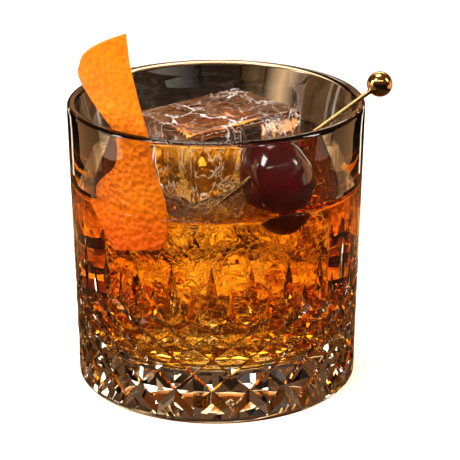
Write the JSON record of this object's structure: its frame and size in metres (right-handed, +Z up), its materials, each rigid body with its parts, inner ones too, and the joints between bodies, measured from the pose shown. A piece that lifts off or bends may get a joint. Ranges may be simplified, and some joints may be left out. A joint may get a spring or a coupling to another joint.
{
  "type": "old fashioned cocktail in a cut rocks glass",
  "caption": "Amber cocktail over a clear block of ice in a diamond-cut rocks glass, with a twist of orange peel and a dark cherry on a brass pick.",
  "frame": {"origin": "centre of the glass's flat underside", "axes": "+Z up along the glass's axis, -Y towards the viewer of the picture, +X to the right, towards the pick's ball"},
  "size_m": [0.0935, 0.086, 0.1101],
  "materials": {
    "cut_glass": "polished clear glass with ground facets",
    "amber_drink": "clear amber liquid",
    "clear_ice": "wet clear ice with fine cracks",
    "cherry_skin": "glossy syrup-coated skin",
    "polished_brass": "polished",
    "orange_zest": "waxy pitted zest over pale pith"
  },
  "bodies": {
    "root": {"tumbler": "cut_glass", "drink": "amber_drink", "ice_block": "clear_ice", "cherry": "cherry_skin", "cocktail_pick": "polished_brass", "orange_peel": "orange_zest"}
  },
  "joints": []
}
